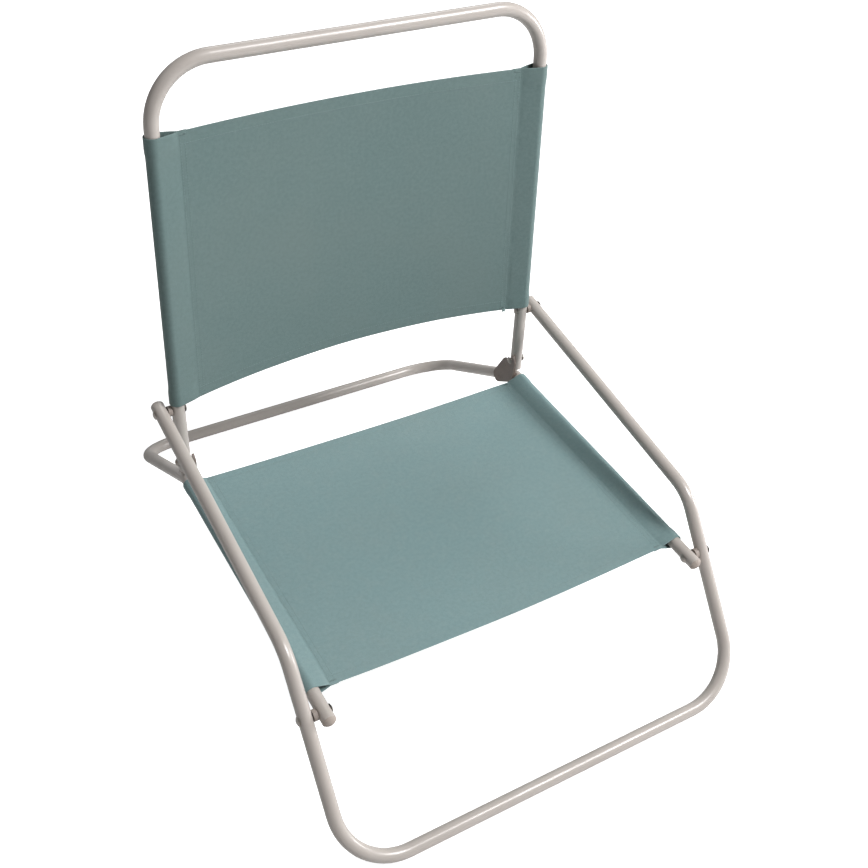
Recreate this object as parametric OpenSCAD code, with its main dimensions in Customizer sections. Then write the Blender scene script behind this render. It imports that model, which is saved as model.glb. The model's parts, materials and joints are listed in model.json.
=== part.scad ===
// Low folding camp chair: three bent steel tubes, two fabric slings, riveted pivots.
// X is across the chair, -Y is the front, +Z is up. The origin is on the ground,
// under the middle of the chair.

/* [Overall size] */
// Width across the outside of the leg frame tube
overall_width = 547; // [440:1:660]
// Depth from the front ground bar to the rear ground bar
overall_depth = 722; // [600:1:880]
// Height of the top of the backrest
overall_height = 663.5; // [550:0.5:800]

/* [Tube] */
// Outside diameter of every tube
tube_d = 16; // [13:0.5:20]
// Wall of every tube
tube_wall = 1.2; // [0.8:0.1:2]

/* [Leg frame] */
// Distance from the front ground bar back to the knee
knee_setback = 165; // [130:1:200]
// Height of the knee
knee_height = 201; // [165:1:245]
// Rise of the arms towards the rear, in degrees
arm_rise = 6.9; // [5:0.1:9]
// Distance from the knee to the backrest pivot, along the arm
arm_length = 351; // [290:1:425]
// Arm tube left past the backrest pivot
arm_overhang = 13; // [11:0.5:24]
// Centreline radius of the two front ground corners
front_bend = 70; // [50:1:95]
// Centreline radius of the knee
knee_bend = 55; // [35:1:80]

/* [Seat tube] */
// Height of the front pivot
front_pivot_height = 144; // [125:1:162]
// Fall of the seat rails towards the rear, in degrees
seat_fall = 1; // [0:0.1:3]
// Distance from the rear corner of the seat back to the hook pin
pin_setback = 5; // [0:0.5:8]
// Rail tube left in front of the front pivot
rail_overhang = 14; // [11:0.5:26]
// Centreline radius of the rear corner of the seat
rear_bend = 30; // [25:1:45]
// Centreline radius of the two rear ground corners
foot_bend = 60; // [45:1:90]

/* [Backrest] */
// Lean of the backrest, in degrees
recline = 5.2; // [3:0.1:9]
// Height of the hook pin above the centreline of the seat rail
hook_height = 27; // [25:0.5:34]
// Upright tube left below the hook pin
stub_length = 13; // [11:0.5:15]
// Centreline radius of the two top corners
top_bend = 66; // [50:1:100]
// How far each upright leans in by the time it reaches the top bar
top_narrowing = 9; // [2:0.5:15]

/* [Rivets and washers] */
// Diameter of the rivet shanks and hook pins
rivet_d = 6; // [5:0.1:8]
// Diameter of the rivet heads
head_d = 11; // [9:0.5:13]
// Height of the rivet heads
head_h = 2; // [1.2:0.1:2.6]
// Height of the outer heads of the hook pins
pin_head_h = 4; // [2:0.1:5]
// Gap that the washers keep between the outer and inner tubes
washer_gap = 5; // [3:0.1:7]
// Outside diameter of the washers
washer_d = 13; // [11:0.5:16]
// Running clearance of the pivots, on the radius
running = 0.06; // [0.02:0.01:0.1]
// Clearance between faces that turn past each other
face_clearance = 0.15; // [0.1:0.05:0.4]

/* [Hook plates] */
// Thickness of the plates
plate_t = 3; // [2:0.5:4]
// Steel left around the hook notch
plate_rim = 8; // [6:0.5:10]
// Distance from the hook pin back to the rounded heel of the plate
plate_heel = 15; // [12:0.5:20]
// Distance along the foot tube from the rear corner of the seat to the plate's toe
plate_toe = 33; // [28:0.5:38]
// Clearance of the hook pin in its notch
hook_clearance = 0.8; // [0.6:0.1:1.2]

/* [End plugs] */
// Height of the dome that shows outside the tube
plug_dome = 4; // [2:0.5:7]
// Length of the plug inside the tube
plug_depth = 4; // [2:0.5:5]

/* [Slings] */
// Thickness of the fabric panel
fabric_t = 2; // [1.6:0.1:3]
// Thickness of the fabric round a tube
sleeve_t = 1; // [0.8:0.1:1.5]
// Distance from a rail's centreline to the seam of its sleeve
seat_seam = 21; // [16:0.5:30]
// Distance from an upright's centreline to the seam of its sleeve
back_seam = 27; // [16:0.5:34]
// Sag of the seat sling at its middle
seat_sag = 5; // [2:0.5:25]
// Belly of the back sling at its middle
back_sag = 16; // [2:0.5:30]
// Gap from the backrest pivot's washer up to the back sling
back_sling_start = 1.5; // [0.5:0.5:20]
// Gap from the back sling up to the bend of the top corner
back_sling_end = 4; // [1:0.5:60]
// Gap from the front pivot back to the seat sling
seat_sling_start = 26; // [16:0.5:50]
// Gap from the end of the straight rail to the seat sling
seat_sling_end = 2; // [1:0.5:20]

/* [Hidden] */
$fn = 96;

paint = [0.86, 0.83, 0.80];
steel = [0.55, 0.53, 0.51];
nylon = [0.62, 0.56, 0.52];
teal = [0.42, 0.55, 0.55];

tube_r = tube_d / 2;
bore_r = tube_r - tube_wall;

// Centre planes across the chair.
frame_x = overall_width / 2 - tube_r;
inner_x = frame_x - tube_d - washer_gap;
inner_face_x = inner_x - tube_r;

// Side view, as [y, z] points.
front_bar = [-overall_depth / 2 + tube_r, tube_r];
rear_bar = [overall_depth / 2 - tube_r, tube_r];
knee = [front_bar[0] + knee_setback, knee_height];
arm_dir = [cos(arm_rise), sin(arm_rise)];
arm_pivot = knee + arm_length * arm_dir;
arm_end = arm_pivot + arm_overhang * arm_dir;
leg_dir = (knee - front_bar) / norm(knee - front_bar);
front_pivot = front_bar + leg_dir * (front_pivot_height - front_bar[1]) / leg_dir[1];
rail_dir = [cos(seat_fall), -sin(seat_fall)];
rail_end = front_pivot - rail_overhang * rail_dir;
upright_dir = [sin(recline), cos(recline)];
upright_length = (overall_height - tube_r - arm_pivot[1]) / upright_dir[1];
top_bar = arm_pivot + upright_length * upright_dir;

// The uprights are parallel at the pivots and lean in from just above them.
lean_foot = 5;
lean_bend = 150;
lean_start = arm_pivot + lean_foot * upright_dir;
lean = atan(top_narrowing / (upright_length - lean_foot));
top_x = inner_x - top_narrowing;

// The hook pin lies on the upright, a set height above the line of the seat rail.
rail_at_origin = front_pivot[1] + tan(seat_fall) * front_pivot[0];
pin_drop = (arm_pivot[1] + tan(seat_fall) * arm_pivot[0] - rail_at_origin - hook_height)
    / (upright_dir[1] + tan(seat_fall) * upright_dir[0]);
hook_pin = arm_pivot - pin_drop * upright_dir;
upright_end = hook_pin - stub_length * upright_dir;
seat_length = (hook_pin[0] - pin_setback - front_pivot[0]) / rail_dir[0];
seat_corner = front_pivot + seat_length * rail_dir;

// Straight length that the rear corner of the seat takes from the rail.
foot_dir = (rear_bar - seat_corner) / norm(rear_bar - seat_corner);
corner_turn = acos(foot_dir * rail_dir);
corner_take = rear_bend * tan(corner_turn / 2);

seat_sling_length = seat_length - corner_take - seat_sling_end - seat_sling_start;
back_sling_foot = max(head_d, washer_d) / 2 + back_sling_start;
back_sling_length = upright_length - top_bend - back_sling_end - back_sling_foot;
notch_r = rivet_d / 2 + hook_clearance;
plate_r = notch_r + plate_rim;
flange_t = 1.5;
// A bend is a little thinner than the straights, which reach this far into it.
bend_thinning = 0.01;
bend_lap = 0.1;
// The web of a sleeve reaches this far past the seam and above the flat's face.
web_lap = 1;
web_rise = 0.6;
eps = 1;

function at(x, p) = [x, p[0], p[1]];
function unit(v) = v / norm(v);
function tangent_take(p, i, r) =
    r * tan(acos(unit(p[i] - p[i - 1]) * unit(p[i + 1] - p[i])) / 2);

// Puts the origin at p, with Z along the direction z and X as near x as it can be.
module along(p, z, x) {
    zz = unit(z);
    yy = unit(cross(zz, x));
    xx = cross(yy, zz);
    multmatrix([
        [xx[0], yy[0], zz[0], p[0]],
        [xx[1], yy[1], zz[1], p[1]],
        [xx[2], yy[2], zz[2], p[2]],
        [0, 0, 0, 1]
    ]) children();
}

module straight(a, b, r) {
    side = abs(unit(b - a)[0]) > 0.9 ? [0, 0, 1] : [1, 0, 0];
    along(a, b - a, side) cylinder(h = norm(b - a), r = r);
}

module bend(before, corner, after, bend_r, r) {
    u = unit(corner - before);
    v = unit(after - corner);
    turn = acos(u * v);
    start = corner - u * bend_r * tan(turn / 2);
    normal = unit(v - (u * v) * u);
    along(start + normal * bend_r, cross(u, normal), -normal)
        rotate_extrude(angle = turn) translate([bend_r, 0]) circle(r);
}

// A round bar of radius r through points, with a bend radius for each inner point.
// It carries on past both ends by over.
module run(points, bends, r, over = 0) {
    last = len(points) - 1;
    for (i = [0 : last - 1]) {
        dir = unit(points[i + 1] - points[i]);
        head = i == 0 ? 0 : tangent_take(points, i, bends[i - 1]);
        tail = i == last - 1 ? 0 : tangent_take(points, i + 1, bends[i]);
        from = points[i] + dir * (i == 0 ? -over : head - bend_lap);
        to = points[i + 1] - dir * (i == last - 1 ? -over : tail - bend_lap);
        straight(from, to, r);
    }
    for (i = [1 : last - 1]) {
        bend(points[i - 1], points[i], points[i + 1], bends[i - 1], r - bend_thinning);
    }
}

module tube_run(points, bends) {
    difference() {
        run(points, bends, tube_r);
        run(points, bends, bore_r, eps);
    }
}

// A round bar across the chair, from one x to another, at the side view point p.
module cross_bar(x0, x1, p, r) {
    translate([min(x0, x1), p[0], p[1]]) rotate([0, 90, 0]) cylinder(h = abs(x1 - x0), r = r);
}

module both_sides() {
    children();
    mirror([1, 0, 0]) children();
}

// Draws for the right side when s is 1 and for the left side when s is -1.
module side(s) {
    if (s > 0) children();
    else mirror([1, 0, 0]) children();
}

// A domed head that stands on the plane z = 0.
module dome(d, h) {
    ball = (d * d / 4 + h * h) / (2 * h);
    intersection() {
        translate([0, 0, h - ball]) sphere(r = ball);
        cylinder(h = h, d = d);
    }
}

module leg_frame_tube() {
    color(paint) difference() {
        tube_run([
            at(-frame_x, arm_end), at(-frame_x, knee), at(-frame_x, front_bar),
            at(frame_x, front_bar), at(frame_x, knee), at(frame_x, arm_end)
        ], [knee_bend, front_bend, front_bend, knee_bend]);
        both_sides() cross_bar(frame_x - tube_d, frame_x + tube_d, front_pivot, rivet_d / 2);
        both_sides() cross_bar(frame_x - tube_d, frame_x + tube_d, arm_pivot, rivet_d / 2);
    }
}

seat_points = [
    at(-inner_x, rail_end), at(-inner_x, seat_corner), at(-inner_x, rear_bar),
    at(inner_x, rear_bar), at(inner_x, seat_corner), at(inner_x, rail_end)
];
seat_bends = [rear_bend, foot_bend, foot_bend, rear_bend];

module seat_tube() {
    color(paint) difference() {
        tube_run(seat_points, seat_bends);
        both_sides() cross_bar(inner_x - tube_d, inner_x + tube_d, front_pivot, rivet_d / 2 + running);
    }
}

module backrest_tube() {
    color(paint) difference() {
        tube_run([
            at(-inner_x, upright_end), at(-inner_x, lean_start), at(-top_x, top_bar),
            at(top_x, top_bar), at(inner_x, lean_start), at(inner_x, upright_end)
        ], [lean_bend, top_bend, top_bend, lean_bend]);
        both_sides() cross_bar(inner_x - tube_d, inner_x + tube_d, arm_pivot, rivet_d / 2 + running);
        both_sides() cross_bar(inner_x - tube_d, inner_x + tube_d, hook_pin, rivet_d / 2);
    }
}

// A plug pushed into a tube end, facing along the side view direction dir.
module plug(x, end, dir) {
    color(nylon) along(at(x, end), at(0, dir), [1, 0, 0]) {
        dome(tube_d, plug_dome);
        translate([0, 0, -plug_depth]) cylinder(h = plug_depth, r = bore_r);
    }
}

module arm_plug(s) { side(s) plug(frame_x, arm_end, arm_dir); }
module rail_plug(s) { side(s) plug(inner_x, rail_end, -rail_dir); }
module upright_plug(s) {
    side(s) color(nylon) along(at(inner_x, upright_end), at(0, -upright_dir), [1, 0, 0]) {
        cylinder(h = flange_t, r = tube_r);
        translate([0, 0, -plug_depth]) cylinder(h = plug_depth, r = bore_r);
    }
}

// A rivet through the frame tube, a washer and the inner tube at the side view point p.
module pivot_rivet(p) {
    inner_head_x = inner_face_x - face_clearance;
    color(steel) union() {
        cross_bar(inner_head_x, frame_x + tube_r, p, rivet_d / 2);
        translate([inner_head_x, p[0], p[1]]) rotate([0, -90, 0]) dome(head_d, head_h);
        translate([frame_x + tube_r, p[0], p[1]]) rotate([0, 90, 0]) dome(head_d, head_h);
    }
}

module front_rivet(s) { side(s) pivot_rivet(front_pivot); }
module arm_rivet(s) { side(s) pivot_rivet(arm_pivot); }

module pivot_washer(p) {
    start = inner_x + tube_r + face_clearance;
    color(nylon) difference() {
        cross_bar(start, frame_x - tube_r, p, washer_d / 2);
        cross_bar(start - eps, frame_x, p, rivet_d / 2);
    }
}

module front_washer(s) { side(s) pivot_washer(front_pivot); }
module arm_washer(s) { side(s) pivot_washer(arm_pivot); }

// The pin that stands out of the upright and rests in the hook plate.
module hook_pin_piece(s) {
    tip_x = inner_face_x - plate_t - 2.5 * face_clearance;
    side(s) color(steel) union() {
        cross_bar(tip_x, inner_x + tube_r, hook_pin, rivet_d / 2);
        translate([tip_x, hook_pin[0], hook_pin[1]]) rotate([0, -90, 0]) dome(head_d - 1, head_h);
        translate([inner_x + tube_r, hook_pin[0], hook_pin[1]]) rotate([0, 90, 0]) dome(head_d, pin_head_h);
    }
}

// The plate's outline in the side view, before the notch is cut. Its toe runs down the side
// of the foot tube.
module plate_outline(foot_z) {
    heel_r = 5;
    toe_r = tube_r + 1.5;
    heel = hook_pin + [plate_heel - heel_r, -notch_r - heel_r];
    toe = seat_corner + plate_toe * foot_dir;
    rear = [cos(25), sin(25)];
    front = hook_pin[0] - plate_r;
    translate(hook_pin) circle(plate_r);
    translate(heel) circle(heel_r);
    translate(toe) circle(toe_r);
    polygon([
        [front, foot_z], [front, hook_pin[1]], hook_pin, heel + [0, heel_r],
        heel + heel_r * rear, toe + toe_r * rear, toe + toe_r * [foot_dir[1], -foot_dir[0]]
    ]);
}

// The open hook that the pin rests in, with a foot that saddles the seat tube.
module hook_plate(s) {
    face_x = inner_face_x - face_clearance;
    foot_z = seat_corner[1] - tube_r / 2;
    foot_top = seat_corner[1] + tube_r;
    side(s) color(paint) difference() {
        union() {
            translate([face_x - plate_t, 0, 0]) rotate([90, 0, 90]) linear_extrude(plate_t) difference() {
                plate_outline(foot_z);
                translate(hook_pin) circle(notch_r);
                translate(hook_pin - [0, notch_r]) square(3 * plate_r);
                translate(hook_pin - [notch_r, 0]) square(3 * plate_r);
            }
            translate([face_x - plate_t, hook_pin[0] - plate_r, foot_z])
                cube([plate_t + face_clearance + tube_r * 0.6, 2 * plate_r, foot_top - foot_z]);
        }
        run(seat_points, seat_bends, tube_r);
    }
}

// The web of one sleeve, beside a tube that stands on the origin: it leaves the middle of
// the sleeve's wall and narrows towards -X to the seam.
module sleeve_web(seam) {
    half = fabric_t / 2 + web_rise;
    mid_r = tube_r + sleeve_t / 2;
    turn = acos(mid_r / norm([seam, half])) + atan2(half, seam);
    web_x = -mid_r * cos(turn);
    web_y = mid_r * sin(turn);
    seam_x = -seam - web_lap;
    polygon([[web_x, web_y], [web_x, -web_y], [seam_x, -half], [seam_x, half]]);
}

// Puts both sides' tubes of a sling on the origin, leaning in by angle.
module on_tubes(x, angle) {
    both_sides() translate([x, 0, 0]) rotate([0, -angle, 0]) children();
}

// The flat between the seams, bowed towards +Y by sag at its middle. It is foot_x wide each
// way at the start and head_x at the end.
module sling_flat(foot_x, head_x, length, sag) {
    bow_r = (foot_x * foot_x + sag * sag) / (2 * sag);
    deep = sag + tube_d;
    intersection() {
        linear_extrude(length) translate([0, sag - bow_r]) difference() {
            circle(bow_r + fabric_t / 2, $fn = 1440);
            circle(bow_r - fabric_t / 2, $fn = 1440);
        }
        translate([0, deep, 0]) rotate([90, 0, 0]) linear_extrude(2 * deep)
            polygon([[-foot_x, -eps], [foot_x, -eps], [head_x, length + eps], [-head_x, length + eps]]);
    }
}

// A sling from the side view point start: a sleeve round each tube and the flat between.
// Its tubes are at x to either side, and lean in by angle.
module sling(start, dir, x, angle, length, seam, sag) {
    seam_x = x - seam + web_lap;
    color(teal) along(at(0, start), at(0, dir), [1, 0, 0]) difference() {
        union() {
            on_tubes(x, angle) cylinder(h = length, r = tube_r + sleeve_t);
            on_tubes(x, angle) linear_extrude(length) sleeve_web(seam);
            sling_flat(seam_x, seam_x - length * tan(angle), length, sag);
        }
        on_tubes(x, angle) translate([0, 0, -eps]) cylinder(h = length + 2 * eps, r = tube_r);
    }
}

module seat_sling() {
    start = front_pivot + seat_sling_start * rail_dir;
    sling(start, rail_dir, inner_x, 0, seat_sling_length, seat_seam, seat_sag);
}

module back_sling() {
    start = arm_pivot + back_sling_foot * upright_dir;
    foot_x = inner_x - (back_sling_foot - lean_foot) * tan(lean);
    sling(start, upright_dir, foot_x, lean, back_sling_length, back_seam, back_sag);
}

leg_frame_tube();
seat_tube();
backrest_tube();
arm_plug(-1);  // arm_plug_left
arm_plug(1);  // arm_plug_right
rail_plug(-1);  // rail_plug_left
rail_plug(1);  // rail_plug_right
upright_plug(-1);  // upright_plug_left
upright_plug(1);  // upright_plug_right
front_rivet(-1);  // front_rivet_left
front_rivet(1);  // front_rivet_right
front_washer(-1);  // front_washer_left
front_washer(1);  // front_washer_right
arm_rivet(-1);  // arm_rivet_left
arm_rivet(1);  // arm_rivet_right
arm_washer(-1);  // arm_washer_left
arm_washer(1);  // arm_washer_right
hook_pin_piece(-1);  // hook_pin_left
hook_pin_piece(1);  // hook_pin_right
hook_plate(-1);  // hook_plate_left
hook_plate(1);  // hook_plate_right
seat_sling();
back_sling();
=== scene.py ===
import json
import math

import bpy
from mathutils import Matrix, Vector, noise


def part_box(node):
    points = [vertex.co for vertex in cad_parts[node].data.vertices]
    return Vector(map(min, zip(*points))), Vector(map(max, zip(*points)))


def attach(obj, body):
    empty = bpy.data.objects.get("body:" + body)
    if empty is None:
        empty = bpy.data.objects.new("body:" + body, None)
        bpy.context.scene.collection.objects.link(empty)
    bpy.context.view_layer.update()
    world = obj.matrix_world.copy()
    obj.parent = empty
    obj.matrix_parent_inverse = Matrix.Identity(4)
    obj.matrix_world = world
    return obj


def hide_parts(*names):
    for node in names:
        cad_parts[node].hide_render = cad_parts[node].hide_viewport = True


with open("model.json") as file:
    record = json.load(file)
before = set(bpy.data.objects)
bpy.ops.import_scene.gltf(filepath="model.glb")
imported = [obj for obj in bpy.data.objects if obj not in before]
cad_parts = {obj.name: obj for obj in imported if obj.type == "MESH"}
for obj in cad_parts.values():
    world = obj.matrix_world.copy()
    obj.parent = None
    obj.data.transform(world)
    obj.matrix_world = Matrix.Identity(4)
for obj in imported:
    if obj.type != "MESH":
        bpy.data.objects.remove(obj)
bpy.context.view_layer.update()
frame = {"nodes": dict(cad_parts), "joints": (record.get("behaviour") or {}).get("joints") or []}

joints = {j["name"]: j for j in frame["joints"]}
armPivot = Vector(joints["backrest_pivot"]["pos_m"])
frontPivot = Vector(joints["seat_pivot"]["pos_m"])


def middle(node):
    low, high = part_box(node)
    return (low + high) / 2


railX = middle("rail_plug_right").x
tubeR = (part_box("rail_plug_right")[1].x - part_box("rail_plug_right")[0].x) / 2
print("frame loaded, tube radius", round(tubeR, 4), "rail centre", round(railX, 4))


def link(obj):
    bpy.context.scene.collection.objects.link(obj)
    return obj


def meshPiece(name, verts, faces, material, smooth=True):
    mesh = bpy.data.meshes.new(name)
    mesh.from_pydata([tuple(v) for v in verts], [], faces)
    mesh.update()
    mesh.polygons.foreach_set("use_smooth", [smooth] * len(mesh.polygons))
    obj = link(bpy.data.objects.new(name, mesh))
    mesh.materials.append(material)
    return obj


def addModifier(obj, kind, **values):
    mod = obj.modifiers.new(kind.lower(), kind)
    for key, value in values.items():
        setattr(mod, key, value)
    return mod


def smoothStep(a, b, x):
    t = min(1.0, max(0.0, (x - a) / (b - a)))
    return t * t * (3 - 2 * t)


def newGroup(name, inputs, outputs):
    group = bpy.data.node_groups.new(name, "ShaderNodeTree")
    for label, kind, value in inputs:
        socket = group.interface.new_socket(name=label, in_out="INPUT", socket_type="NodeSocket" + kind)
        if value is not None:
            socket.default_value = value
    for label, kind in outputs:
        group.interface.new_socket(name=label, in_out="OUTPUT", socket_type="NodeSocket" + kind)
    start = group.nodes.new("NodeGroupInput")
    end = group.nodes.new("NodeGroupOutput")
    return group, start, end


class Nodes:
    # Short ways to add and join nodes in one tree.
    def __init__(self, tree):
        self.tree = tree

    def add(self, kind, **values):
        node = self.tree.nodes.new("ShaderNode" + kind)
        for key, value in values.items():
            setattr(node, key, value)
        return node

    def put(self, value, socket):
        if isinstance(value, bpy.types.NodeSocket):
            self.tree.links.new(value, socket)
        else:
            socket.default_value = value

    def math(self, operation, a, b=None, c=None):
        node = self.add("Math", operation=operation)
        for value, socket in zip((a, b, c), node.inputs):
            if value is not None:
                self.put(value, socket)
        return node.outputs[0]

    def noise(self, vector, scale, detail=2.0, roughness=0.5):
        node = self.add("TexNoise")
        self.put(vector, node.inputs["Vector"])
        self.put(scale, node.inputs["Scale"])
        node.inputs["Detail"].default_value = detail
        node.inputs["Roughness"].default_value = roughness
        return node.outputs[0]

    def ramp(self, value, low, high, a=0.0, b=1.0):
        node = self.add("MapRange", interpolation_type="SMOOTHSTEP")
        for item, socket in zip((value, low, high, a, b), node.inputs):
            self.put(item, socket)
        return node.outputs[0]

    def mix(self, factor, a, b, blend="MIX"):
        node = self.add("Mix", data_type="RGBA", blend_type=blend)
        self.put(factor, node.inputs["Factor"])
        for value, socket in ((a, node.inputs[6]), (b, node.inputs[7])):
            if not isinstance(value, bpy.types.NodeSocket):
                value = (*value[:3], 1)
            self.put(value, socket)
        return node.outputs[2]

    def group(self, tree, **values):
        node = self.add("Group")
        node.node_tree = tree
        for key, value in values.items():
            self.put(value, node.inputs[key])
        return node


def makeWeave():
    # Plain weave: threads pass over and under each other, one cell to a crossing.
    group, start, end = newGroup(
        "plainWeave",
        [("Vector", "Vector", None), ("Pitch", "Float", 0.0007), ("Slub", "Float", 0.3)],
        [("Height", "Float"), ("Gap", "Float"), ("Warp", "Float")])
    n = Nodes(group)
    split = n.add("SeparateXYZ")
    n.put(start.outputs["Vector"], split.inputs[0])
    wobble = n.noise(start.outputs["Vector"], 60.0, 2.0)
    drift = n.math("MULTIPLY", n.math("SUBTRACT", wobble, 0.5), start.outputs["Slub"])
    u = n.math("ADD", n.math("DIVIDE", split.outputs[0], start.outputs["Pitch"]), drift)
    v = n.math("ADD", n.math("DIVIDE", split.outputs[1], start.outputs["Pitch"]), drift)
    cell = n.math("ADD", n.math("FLOOR", u), n.math("FLOOR", v))
    warpUp = n.math("FLOORED_MODULO", cell, 2.0)

    def bump(x, power):
        s = n.math("ABSOLUTE", n.math("SINE", n.math("MULTIPLY", x, math.pi)))
        return n.math("POWER", s, power)

    warp = n.math("MULTIPLY", bump(u, 0.5), bump(v, 0.9))
    weft = n.math("MULTIPLY", bump(v, 0.5), bump(u, 0.9))
    high = n.math("ADD", n.math("MULTIPLY", warp, warpUp),
                  n.math("MULTIPLY", weft, n.math("SUBTRACT", 1.0, warpUp)))
    n.put(high, end.inputs["Height"])
    # Gap: the low spots between the threads, used only as the mask for the cloth's painted shade
    n.put(n.ramp(high, 0.45, 0.05), end.inputs["Gap"])
    n.put(warpUp, end.inputs["Warp"])
    return group


def makeGrime():
    # Soft blotches, and dust that lies on what faces up.
    group, start, end = newGroup(
        "softGrime",
        [("Vector", "Vector", None), ("Size", "Float", 14.0)],
        [("Blotch", "Float"), ("Dust", "Float")])
    n = Nodes(group)
    n.put(n.ramp(n.noise(start.outputs["Vector"], start.outputs["Size"], 5.0, 0.6), 0.35, 0.75),
          end.inputs["Blotch"])
    facing = n.add("SeparateXYZ")
    n.put(n.add("NewGeometry").outputs["Normal"], facing.inputs[0])
    up = n.ramp(facing.outputs[2], 0.35, 1.0)
    fine = n.ramp(n.noise(start.outputs["Vector"], 90.0, 6.0, 0.7), 0.42, 0.72)
    n.put(n.math("MULTIPLY", up, fine), end.inputs["Dust"])
    return group


def makeWear():
    # Chips and rubbed spots, more of them low down, where the tubes meet the ground.
    group, start, end = newGroup(
        "paintWear",
        [("Vector", "Vector", None), ("Chips", "Float", 0.5), ("Ground", "Float", 0.02)],
        [("Chip", "Float"), ("Rub", "Float")])
    n = Nodes(group)
    place = n.add("SeparateXYZ")
    n.put(start.outputs["Vector"], place.inputs[0])
    low = n.ramp(place.outputs[2], start.outputs["Ground"], 0.0)
    patches = n.noise(start.outputs["Vector"], 38.0, 3.0, 0.6)
    specks = n.noise(start.outputs["Vector"], 320.0, 4.0, 0.65)
    wornOff = n.math("ADD", n.math("MULTIPLY", patches, 0.5), n.math("MULTIPLY", specks, 0.5))
    wornOff = n.math("ADD", wornOff, n.math("MULTIPLY", low, 0.09))
    edge = n.math("SUBTRACT", 0.74, n.math("MULTIPLY", start.outputs["Chips"], 0.06))
    n.put(n.ramp(wornOff, edge, n.math("ADD", edge, 0.02)), end.inputs["Chip"])
    n.put(n.ramp(wornOff, n.math("SUBTRACT", edge, 0.12), edge), end.inputs["Rub"])
    return group


weave = makeWeave()
grime = makeGrime()
wear = makeWear()


def newMaterial(name):
    material = bpy.data.materials.new(name)
    material.use_nodes = True
    material.node_tree.nodes.clear()
    n = Nodes(material.node_tree)
    shader = n.add("BsdfPrincipled")
    out = n.add("OutputMaterial")
    n.tree.links.new(shader.outputs[0], out.inputs[0])
    return material, n, shader


def joinBump(n, shader, height, strength, distance):
    bump = n.add("Bump")
    bump.inputs["Strength"].default_value = strength
    bump.inputs["Distance"].default_value = distance
    n.put(height, bump.inputs["Height"])
    n.put(bump.outputs[0], shader.inputs["Normal"])


framePowder = dict(
    colour=(0.495, 0.452, 0.420), shade=(0.425, 0.382, 0.350), rubbed=(0.48, 0.42, 0.37),
    primer=(0.20, 0.13, 0.09), chips=0.5, roughness=0.30, peel=0.00010, coat=0.30)
# Plate finish: dark brown, partly the plates' own browned steel and partly painted shade that darkens them
# further
plateBrownAndShade = dict(
    colour=(0.190, 0.150, 0.130), shade=(0.130, 0.095, 0.078), rubbed=(0.25, 0.19, 0.15),
    primer=(0.11, 0.055, 0.032), chips=1.6, roughness=0.45, peel=0.00014, coat=0.10)


def paintMaterial(name, finish):
    material, n, shader = newMaterial(name)
    place = n.add("TexCoord").outputs["Object"]
    dirt = n.group(grime, Vector=place, Size=11.0)
    marks = n.group(wear, Vector=place, Chips=finish["chips"], Ground=0.006)
    blotch = n.math("MULTIPLY", dirt.outputs["Blotch"], 0.55)
    colour = n.mix(blotch, finish["colour"], finish["shade"])
    colour = n.mix(n.math("MULTIPLY", dirt.outputs["Dust"], 0.25), colour, (0.50, 0.45, 0.39))
    colour = n.mix(n.math("MULTIPLY", marks.outputs["Rub"], 0.35), colour, finish["rubbed"])
    colour = n.mix(marks.outputs["Chip"], colour, finish["primer"])
    n.put(colour, shader.inputs["Base Color"])
    fine = n.noise(place, 900.0, 2.0)
    rough = n.ramp(dirt.outputs["Blotch"], 0.0, 1.0, finish["roughness"], finish["roughness"] + 0.12)
    n.put(n.math("ADD", rough, n.math("MULTIPLY", marks.outputs["Chip"], 0.3)), shader.inputs["Roughness"])
    height = n.math("SUBTRACT", fine, n.math("MULTIPLY", marks.outputs["Chip"], 0.8))
    joinBump(n, shader, height, 0.35, finish["peel"])
    shader.inputs["Coat Weight"].default_value = finish["coat"]
    shader.inputs["Coat Roughness"].default_value = 0.22
    return material


steelFinish = dict(
    colour=(0.42, 0.39, 0.36), shade=(0.30, 0.27, 0.25), rust=(0.20, 0.10, 0.055), roughness=0.38)


def steelMaterial():
    material, n, shader = newMaterial("zinc_steel")
    place = n.add("TexCoord").outputs["Object"]
    dirt = n.group(grime, Vector=place, Size=120.0)
    spots = n.ramp(n.noise(place, 260.0, 5.0, 0.7), 0.56, 0.68)
    blotch = n.math("MULTIPLY", dirt.outputs["Blotch"], 0.4)
    colour = n.mix(blotch, steelFinish["colour"], steelFinish["shade"])
    colour = n.mix(n.math("MULTIPLY", spots, 0.75), colour, steelFinish["rust"])
    n.put(colour, shader.inputs["Base Color"])
    n.put(n.math("SUBTRACT", 0.85, n.math("MULTIPLY", spots, 0.75)), shader.inputs["Metallic"])
    n.put(n.ramp(spots, 0.0, 1.0, steelFinish["roughness"], 0.8), shader.inputs["Roughness"])
    joinBump(n, shader, n.noise(place, 700.0, 4.0, 0.6), 0.4, 0.0001)
    return material


def plasticMaterial(name, colour, roughness):
    material, n, shader = newMaterial(name)
    place = n.add("TexCoord").outputs["Object"]
    dirt = n.group(grime, Vector=place, Size=60.0)
    dark = tuple(c * 0.72 for c in colour)
    mixed = n.mix(n.math("MULTIPLY", dirt.outputs["Blotch"], 0.6), colour, dark)
    mixed = n.mix(n.math("MULTIPLY", dirt.outputs["Dust"], 0.3), mixed, (0.42, 0.38, 0.33))
    n.put(mixed, shader.inputs["Base Color"])
    n.put(n.ramp(dirt.outputs["Blotch"], 0.0, 1.0, roughness, roughness + 0.15), shader.inputs["Roughness"])
    joinBump(n, shader, n.noise(place, 1400.0, 3.0, 0.6), 0.3, 0.00008)
    return material


framePaint = paintMaterial("frame_paint", framePowder)
# the plate material's dark brown colour is partly painted shade
platePaintAndShade = paintMaterial("plate_paint_and_shade", plateBrownAndShade)
zincSteel = steelMaterial()
plugPlastic = plasticMaterial("plug_plastic", (0.40, 0.34, 0.30), 0.5)
washerPlastic = plasticMaterial("washer_plastic", (0.33, 0.28, 0.25), 0.55)


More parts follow.
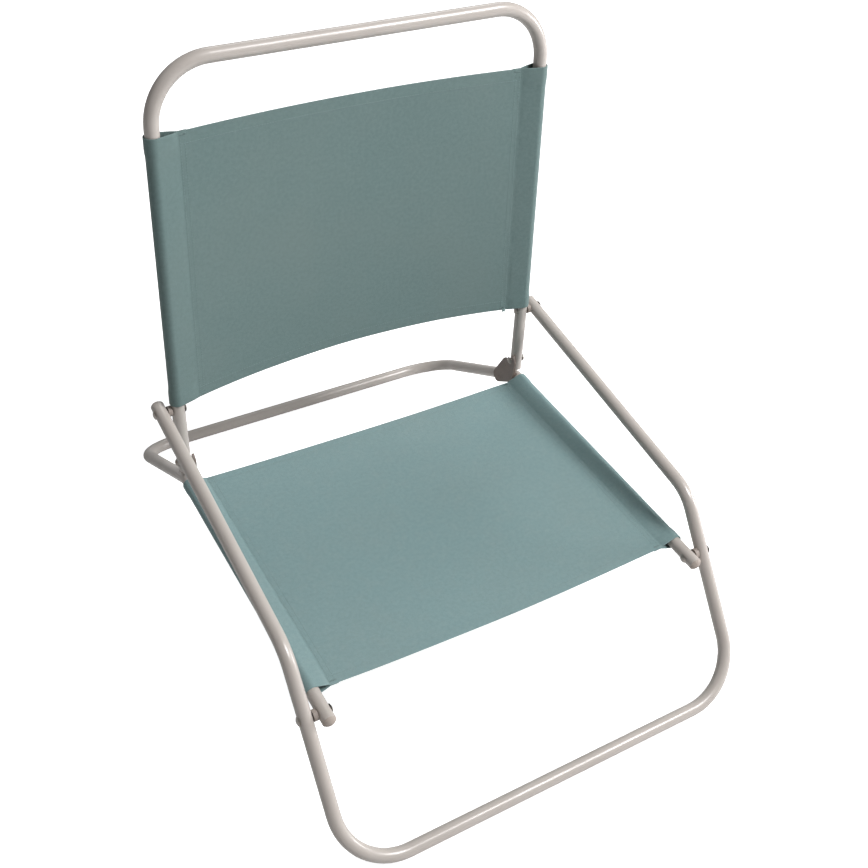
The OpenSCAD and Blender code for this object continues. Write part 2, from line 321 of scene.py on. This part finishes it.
def finishNodes():
    for name, node in frame["nodes"].items():
        if "sling" in name:
            continue
        if name.endswith("_tube"):
            material = framePaint
        elif "plate" in name:
            material = platePaintAndShade
        elif "plug" in name:
            material = plugPlastic
        elif "washer" in name:
            material = washerPlastic
        else:
            material = zincSteel
        for item in node.material_slots:
            item.material = material
        node.data.polygons.foreach_set("use_smooth", [True] * len(node.data.polygons))


finishNodes()
print("frame finishes set on", len(frame["nodes"]), "nodes")

clothFinish = dict(thread=0.0007, roughness=0.78, sheen=0.25)


def clothMaterial(name, colour, light):
    material, n, shader = newMaterial(name)
    place = n.add("UVMap").outputs[0]
    body = n.add("TexCoord").outputs["Object"]
    threads = n.group(weave, Vector=place, Pitch=clothFinish["thread"], Slub=0.35)
    dirt = n.group(grime, Vector=body, Size=5.0)
    slubs = n.noise(place, 220.0, 3.0, 0.6)
    tone = n.mix(n.ramp(slubs, 0.3, 0.7, 0.0, 0.35), colour, light)
    tone = n.mix(n.math("MULTIPLY", threads.outputs["Warp"], 0.10), tone, light)
    # painted shade: the cloth colour is darkened where the threads dip, in the gaps between them
    dark = tuple(c * 0.45 for c in colour)
    tone = n.mix(n.math("MULTIPLY", threads.outputs["Gap"], 0.45), tone, dark)
    tone = n.mix(n.math("MULTIPLY", dirt.outputs["Blotch"], 0.16), tone, (0.24, 0.27, 0.25))
    tone = n.mix(n.math("MULTIPLY", dirt.outputs["Dust"], 0.05), tone, (0.40, 0.38, 0.34))
    n.put(tone, shader.inputs["Base Color"])
    rough = n.ramp(dirt.outputs["Blotch"], 0.0, 1.0, clothFinish["roughness"], 0.9)
    n.put(rough, shader.inputs["Roughness"])
    joinBump(n, shader, threads.outputs["Height"], 0.35, 0.00018)
    shader.inputs["Sheen Weight"].default_value = clothFinish["sheen"]
    shader.inputs["Sheen Roughness"].default_value = 0.5
    shader.inputs["Specular IOR Level"].default_value = 0.3
    return material


def threadMaterial():
    material, n, shader = newMaterial("sewing_thread")
    place = n.add("TexCoord").outputs["Object"]
    twist = n.noise(place, 2500.0, 2.0)
    n.put(n.mix(twist, (0.13, 0.20, 0.20), (0.26, 0.35, 0.34)), shader.inputs["Base Color"])
    n.put(n.ramp(twist, 0.0, 1.0, 0.45, 0.7), shader.inputs["Roughness"])
    joinBump(n, shader, twist, 0.4, 0.0001)
    return material


seatCloth = clothMaterial("seat_cloth", (0.186, 0.292, 0.298), (0.258, 0.375, 0.382))
backCloth = clothMaterial("back_cloth", (0.122, 0.190, 0.186), (0.175, 0.258, 0.252))
sewingThread = threadMaterial()

seatSling = dict(
    node="seat_sling", body="seat", slot="seat_fabric", pivot=frontPivot, tilt=-1.0, along="y",
    narrowing=0.0, insetStart=0.0, insetEnd=0.0, seam=0.021, sagStart=0.010, sagEnd=0.001,
    neckStart=0.001, neckEnd=0.002, hem=0.013, seed=3.0)
backSling = dict(
    node="back_sling", body="backrest", slot="back_fabric", pivot=armPivot, tilt=84.8, along="z",
    narrowing=0.0220, insetStart=0.002, insetEnd=0.003, seam=0.027, sagStart=0.018, sagEnd=0.010,
    neckStart=0.006, neckEnd=-0.002, hem=0.016, seed=11.0)
sewing = dict(
    cloth=0.0007, stack=1.65, fold=1.12, sleeveGap=0.0006, hemRise=0.0007, flap=0.010,
    stitch=0.0024, pitch=0.0033, thread=0.00028, rowInsets=(0.0016, 0.0070), hemRow=0.0025, clear=0.003,
    tacks=9, tackStep=0.0009, tackInset=0.0035)
puckers = dict(
    seam=0.0006, seamReach=0.010, broad=0.0011, fine=0.00035, edgeReach=0.03,
    sleeve=0.00022, sleeveReach=0.012)


class Sling:
    # A taut cloth with a sewn sleeve round each rail. It is drawn over two lengths: s runs
    # across the cloth, round both rails, and v runs along the rails.
    def __init__(self, spec):
        self.spec = spec
        tilt = math.radians(spec["tilt"])
        self.dir = Vector((0, math.cos(tilt), math.sin(tilt)))
        self.out = Vector((1, 0, 0)).cross(self.dir)
        low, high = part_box(spec["node"])
        axis = 1 if spec["along"] == "y" else 2
        skew = (tubeR + 0.001) * abs(self.out[axis])
        first = (low[axis] + skew - spec["pivot"][axis]) / self.dir[axis] + spec["insetStart"]
        last = (high[axis] - skew - spec["pivot"][axis]) / self.dir[axis] - spec["insetEnd"]
        self.start = Vector((0, spec["pivot"].y, spec["pivot"].z)) + self.dir * first
        self.length = last - first
        self.radius = tubeR + sewing["sleeveGap"]
        self.seamX = railX - spec["seam"]
        self.section = self.makeSection()

    def makeSection(self):
        # Points of the right half, from the end of the flap to the middle of the cloth:
        # (x, lift, normal x, normal lift, layer). Layer is 1 on top of the flat, -1 underneath
        # it, and 2 or -2 on the sleeve.
        spec, r = self.spec, self.radius
        gap = sewing["cloth"] * sewing["stack"]
        seam = spec["seam"]
        lean = math.acos(r / math.hypot(seam, gap)) + math.atan2(gap, seam)
        turn = math.pi - lean
        points = []
        for i in range(5):
            points.append((self.seamX - sewing["flap"] * (1 - i / 4), -gap, 0, 1, -1))
        touch = Vector((railX + r * math.cos(turn), r * math.sin(turn)))
        webSteps, arcSteps, flatSteps = 7, 34, 60
        for i in range(1, webSteps):
            t = i / webSteps
            p = Vector((self.seamX, -gap)).lerp(Vector((touch.x, -touch.y)), t)
            points.append((p.x, p.y, math.cos(turn), -math.sin(turn), -2))
        for i in range(arcSteps + 1):
            a = -turn + 2 * turn * i / arcSteps
            points.append((railX + r * math.cos(a), r * math.sin(a), math.cos(a), math.sin(a), 2))
        for i in range(1, webSteps):
            t = i / webSteps
            p = touch.lerp(Vector((self.seamX, gap)), t)
            points.append((p.x, p.y, math.cos(turn), math.sin(turn), 2))
        for i in range(flatSteps + 1):
            t = i / flatSteps
            # closer together beside the seam, where the cloth puckers
            t = t * t * (1.6 - 0.6 * t)
            points.append((self.seamX * (1 - t), gap, 0, 1, 1))
        mirrored = [(-x, l, -nx, nl, layer) for x, l, nx, nl, layer in reversed(points[:-1])]
        points += mirrored
        run, total = [0.0], 0.0
        for a, b in zip(points, points[1:]):
            total += math.hypot(b[0] - a[0], b[1] - a[1])
            run.append(total)
        self.width = total
        return [(*p, s) for p, s in zip(points, run)]

    def place(self, x, lift, nx, nl, layer, v, drop=0.0):
        # The point of the cloth at x across and v along, drop below its outer face.
        spec, length = self.spec, self.length
        u = max(-1.0, min(1.0, x / self.seamX))
        lean = -u * spec["narrowing"] * v
        bow = 1 - u * u
        t = v / length
        along = v
        if abs(x) < self.seamX:
            along = v + bow * (spec["neckStart"] * (1 - t) - spec["neckEnd"] * t)
        sag = (spec["sagStart"] * (1 - t) + spec["sagEnd"] * t) * bow
        fromSeam = abs(abs(x) - self.seamX)
        ripple = 0.0
        if abs(layer) == 1:
            near = math.exp(-fromSeam / puckers["seamReach"])
            pucker = noise.noise(Vector((x * 20, v * 110, spec["seed"])))
            broad = noise.noise(Vector((x * 5, v * 13, spec["seed"] + 7)))
            cross = noise.noise(Vector((x * 9, v * 36, spec["seed"] + 19)))
            edge = math.exp(-min(v, length - v) / puckers["edgeReach"])
            ripple = puckers["seam"] * near * pucker + puckers["broad"] * bow * broad
            ripple += puckers["fine"] * (0.4 + edge) * cross
        elif lift > -self.radius:
            pucker = noise.noise(Vector((spec["seed"], v * 70, x * 60)))
            ripple = puckers["sleeve"] * (1 + pucker) * math.exp(-fromSeam / puckers["sleeveReach"])
        if abs(layer) == 2:
            # the turned hem lifts the sleeve off the tube
            lifted = 1 - smoothStep(spec["hem"] * 0.9, spec["hem"] * 1.5, min(v, length - v))
            ripple += sewing["hemRise"] * lifted * min(1.0, fromSeam / 0.008)
        across = Vector((x + lean + nx * (ripple - drop), 0, 0))
        height = lift + nl * (ripple - drop) - sag
        return self.start + self.dir * along + across + self.out * height

    def rows(self):
        # (v, drop, run) down the cloth: under the first hem, round its edge, along and back.
        hem = self.spec["hem"]
        fold = sewing["cloth"] * sewing["fold"]
        rows = [(hem, fold), (hem * 0.62, fold), (hem * 0.25, fold)]
        for i in range(5):
            a = math.pi * i / 4
            rows.append((fold / 2 - fold / 2 * math.sin(a), fold / 2 + fold / 2 * math.cos(a)))
        steps = 96
        body = [(fold + (self.length - 2 * fold) * i / steps, 0.0) for i in range(steps + 1)]
        tail = [(self.length - v, drop) for v, drop in reversed(rows)]
        full = rows + body + tail
        out, run = [], 0.0
        for i, (v, drop) in enumerate(full):
            if i:
                run += math.hypot(v - full[i - 1][0], drop - full[i - 1][1])
            out.append((v, drop, run))
        self.cutLength = run
        return out

    def build(self, material):
        rows = self.rows()
        across = len(self.section)
        verts, uvs = [], []
        for v, drop, run in rows:
            for x, lift, nx, nl, layer, s in self.section:
                side = -1 if layer == -1 else 1
                verts.append(self.place(x, lift, nx, nl, layer, v, drop * side))
                uvs.append((s, run))
        faces = []
        for j in range(len(rows) - 1):
            for i in range(across - 1):
                a = j * across + i
                faces.append((a, a + across, a + across + 1, a + 1))
        obj = meshPiece(self.spec["node"] + "_cloth", verts, faces, material)
        layer = obj.data.uv_layers.new(name="cloth")
        for loop in obj.data.loops:
            layer.data[loop.index].uv = uvs[loop.vertex_index]
        addModifier(obj, "SOLIDIFY", thickness=sewing["cloth"], offset=0.0)
        return obj

    def frameAt(self, x, v, top):
        # A point on the top or underside of the flat, with the way along and out.
        lift = sewing["cloth"] * sewing["stack"] * (1 if top else -1)
        step = 0.0008
        mid = self.place(x, lift, 0, 1, 1, v)
        alongX = (self.place(x + step, lift, 0, 1, 1, v) - mid).normalized()
        alongV = (self.place(x, lift, 0, 1, 1, v + step) - mid).normalized()
        out = alongX.cross(alongV).normalized()
        if not top:
            out = -out
        return mid, alongX, alongV, out

    def stitchRows(self):
        # (x, v, way) of each stitch: along the seams, across the hems, and the bar tacks.
        hem, pitch, clear = self.spec["hem"], sewing["pitch"], sewing["clear"]
        rows = []
        for side in (-1, 1):
            for inset in sewing["rowInsets"]:
                x = side * (self.seamX - inset)
                count = int((self.length - 2 * clear) / pitch)
                rows += [(x, clear + i * pitch, "v") for i in range(count)]
        count = int((2 * self.seamX - 2 * clear) / pitch)
        for v in (hem - sewing["hemRow"], self.length - hem + sewing["hemRow"]):
            rows += [(-self.seamX + clear + i * pitch, v, "x") for i in range(count)]
        for side in (-1, 1):
            for v in (sewing["tackInset"], self.length - sewing["tackInset"]):
                for i in range(sewing["tacks"]):
                    rows.append((side * (self.seamX - 0.001 - i * sewing["tackStep"]), v, "tack"))
        return rows

    def sew(self, material):
        verts, faces = [], []
        rings = [(-1.0, 0.15), (-0.72, 0.85), (0.0, 1.0), (0.72, 0.85), (1.0, 0.15)]
        sides = 6
        for x, v, way in self.stitchRows():
            for top in (True, False):
                mid, alongX, alongV, out = self.frameAt(x, v, top)
                ahead = alongX if way == "x" else alongV
                aside = ahead.cross(out)
                half = sewing["stitch"] / 2 * (1.25 if way == "tack" else 1.0)
                skin = sewing["cloth"] * (0.5 if top else 0.62)
                mid = mid + out * (skin + sewing["thread"] * 0.35)
                base = len(verts)
                for t, fat in rings:
                    sink = out * (-sewing["thread"] * 1.3 * t * t)
                    for k in range(sides):
                        a = 2 * math.pi * k / sides
                        ring = (aside * math.cos(a) + out * math.sin(a)) * sewing["thread"] * fat
                        verts.append(mid + ahead * (half * t) + ring + sink)
                for j in range(len(rings) - 1):
                    for k in range(sides):
                        a = base + j * sides + k
                        b = base + j * sides + (k + 1) % sides
                        faces.append((a, b, b + sides, a + sides))
                faces.append(tuple(base + k for k in reversed(range(sides))))
                last = base + (len(rings) - 1) * sides
                faces.append(tuple(last + k for k in range(sides)))
        return meshPiece(self.spec["node"] + "_stitching", verts, faces, material)


knot = dict(across=-0.003, turns=4, size=0.0034, thread=0.0007)


def makeKnot(sling, material):
    # The knotted end of the hem's sewing thread, at the foot of the right-hand seam.
    mid, alongX, alongV, out = sling.frameAt(sling.seamX + knot["across"], 0.001, True)
    curve = bpy.data.curves.new("hem_knot", "CURVE")
    curve.dimensions = "3D"
    curve.bevel_depth = knot["thread"]
    curve.bevel_resolution = 3
    spline = curve.splines.new("NURBS")
    count = knot["turns"] * 8
    spline.points.add(count - 1)
    for i in range(count):
        a = 2 * math.pi * i / 8
        wide = knot["size"] * (0.55 + 0.25 * math.sin(a * 0.37))
        p = mid + alongX * (wide * math.cos(a)) + alongV * (wide * math.sin(a * 1.5) - 0.001)
        p += out * (0.0009 + 0.0009 * math.sin(a * 0.62))
        spline.points[i].co = (*p, 1)
    spline.use_endpoint_u = True
    spline.order_u = 4
    curve.materials.append(material)
    return link(bpy.data.objects.new("hem_knot", curve))


def makeSling(spec, material):
    sling = Sling(spec)
    cloth = sling.build(material)
    sewn = [sling.sew(sewingThread)]
    if spec["body"] == "backrest":
        sewn.append(makeKnot(sling, sewingThread))
    for piece in [cloth] + sewn:
        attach(piece, spec["body"])
    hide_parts(spec["node"])
    print(spec["node"], "cut", round(sling.width, 4), "by", round(sling.cutLength, 4))


makeSling(seatSling, seatCloth)
makeSling(backSling, backCloth)
print("slings sewn")

studio = dict(floor=(0.74, 0.74, 0.74), size=30.0, glow=0.86)


def makeFloor():
    material, n, shader = newMaterial("pale_floor")
    place = n.add("TexCoord").outputs["Object"]
    tone = n.mix(n.noise(place, 3.0, 3.0), studio["floor"], tuple(c * 0.985 for c in studio["floor"]))
    n.put(tone, shader.inputs["Base Color"])
    shader.inputs["Roughness"].default_value = 0.9
    shader.inputs["Emission Color"].default_value = (1, 1, 1, 1)
    seen = n.add("LightPath").outputs["Is Camera Ray"]
    n.put(n.math("MULTIPLY", seen, studio["glow"]), shader.inputs["Emission Strength"])
    half = studio["size"] / 2
    corners = [(-half, -half, 0), (half, -half, 0), (half, half, 0), (-half, half, 0)]
    floor = meshPiece("floor", corners, [(0, 1, 2, 3)], material, smooth=False)


def areaLight(name, place, target, size, power):
    data = bpy.data.lights.new(name, "AREA")
    data.shape = "RECTANGLE"
    data.size, data.size_y = size
    data.energy = power
    lamp = link(bpy.data.objects.new(name, data))
    lamp.location = place
    lamp.rotation_euler = (Vector(target) - Vector(place)).to_track_quat("-Z", "Y").to_euler()


lights = dict(
    key=dict(place=(1.7, -1.5, 3.2), size=(1.1, 1.1), power=128),
    side=dict(place=(3.4, -1.0, 0.9), size=(1.0, 1.0), power=62),
    rear=dict(place=(1.4, 2.4, 2.4), size=(1.6, 1.6), power=20),
    sky=0.24)


def makeLight():
    for name in ("key", "side", "rear"):
        areaLight(name, lights[name]["place"], (0, 0, 0.3), lights[name]["size"], lights[name]["power"])
    world = bpy.data.worlds.new("studio")
    world.use_nodes = True
    back = world.node_tree.nodes["Background"]
    back.inputs[0].default_value = (1, 1, 1, 1)
    back.inputs[1].default_value = lights["sky"]
    bpy.context.scene.world = world
    bpy.context.scene.view_settings.view_transform = "Standard"


cameraSpot = dict(
    azimuth=-34.261, height=42.284, roll=6.407, distance=1.16239,
    target=(-0.08115, -0.14207, 0.39239), sensor=36.0, lens=48.1688)


def makeCamera():
    spot = cameraSpot
    a, e, r = (math.radians(spot[k]) for k in ("azimuth", "height", "roll"))
    back = Vector((math.sin(a) * math.cos(e), -math.cos(a) * math.cos(e), math.sin(e)))
    right = (-back).cross(Vector((0, 0, 1))).normalized()
    up = right.cross(-back)
    across = right * math.cos(r) + up * math.sin(r)
    upward = up * math.cos(r) - right * math.sin(r)
    data = bpy.data.cameras.new("camera")
    data.sensor_width = spot["sensor"]
    data.lens = spot["lens"]
    data.clip_start, data.clip_end = 0.05, 50
    camera = link(bpy.data.objects.new("camera", data))
    turn = Matrix((across, upward, back)).transposed().to_4x4()
    camera.matrix_world = Matrix.Translation(Vector(spot["target"]) + back * spot["distance"]) @ turn
    bpy.context.scene.camera = camera


makeFloor()
makeLight()
makeCamera()
print("studio, lights and camera set")
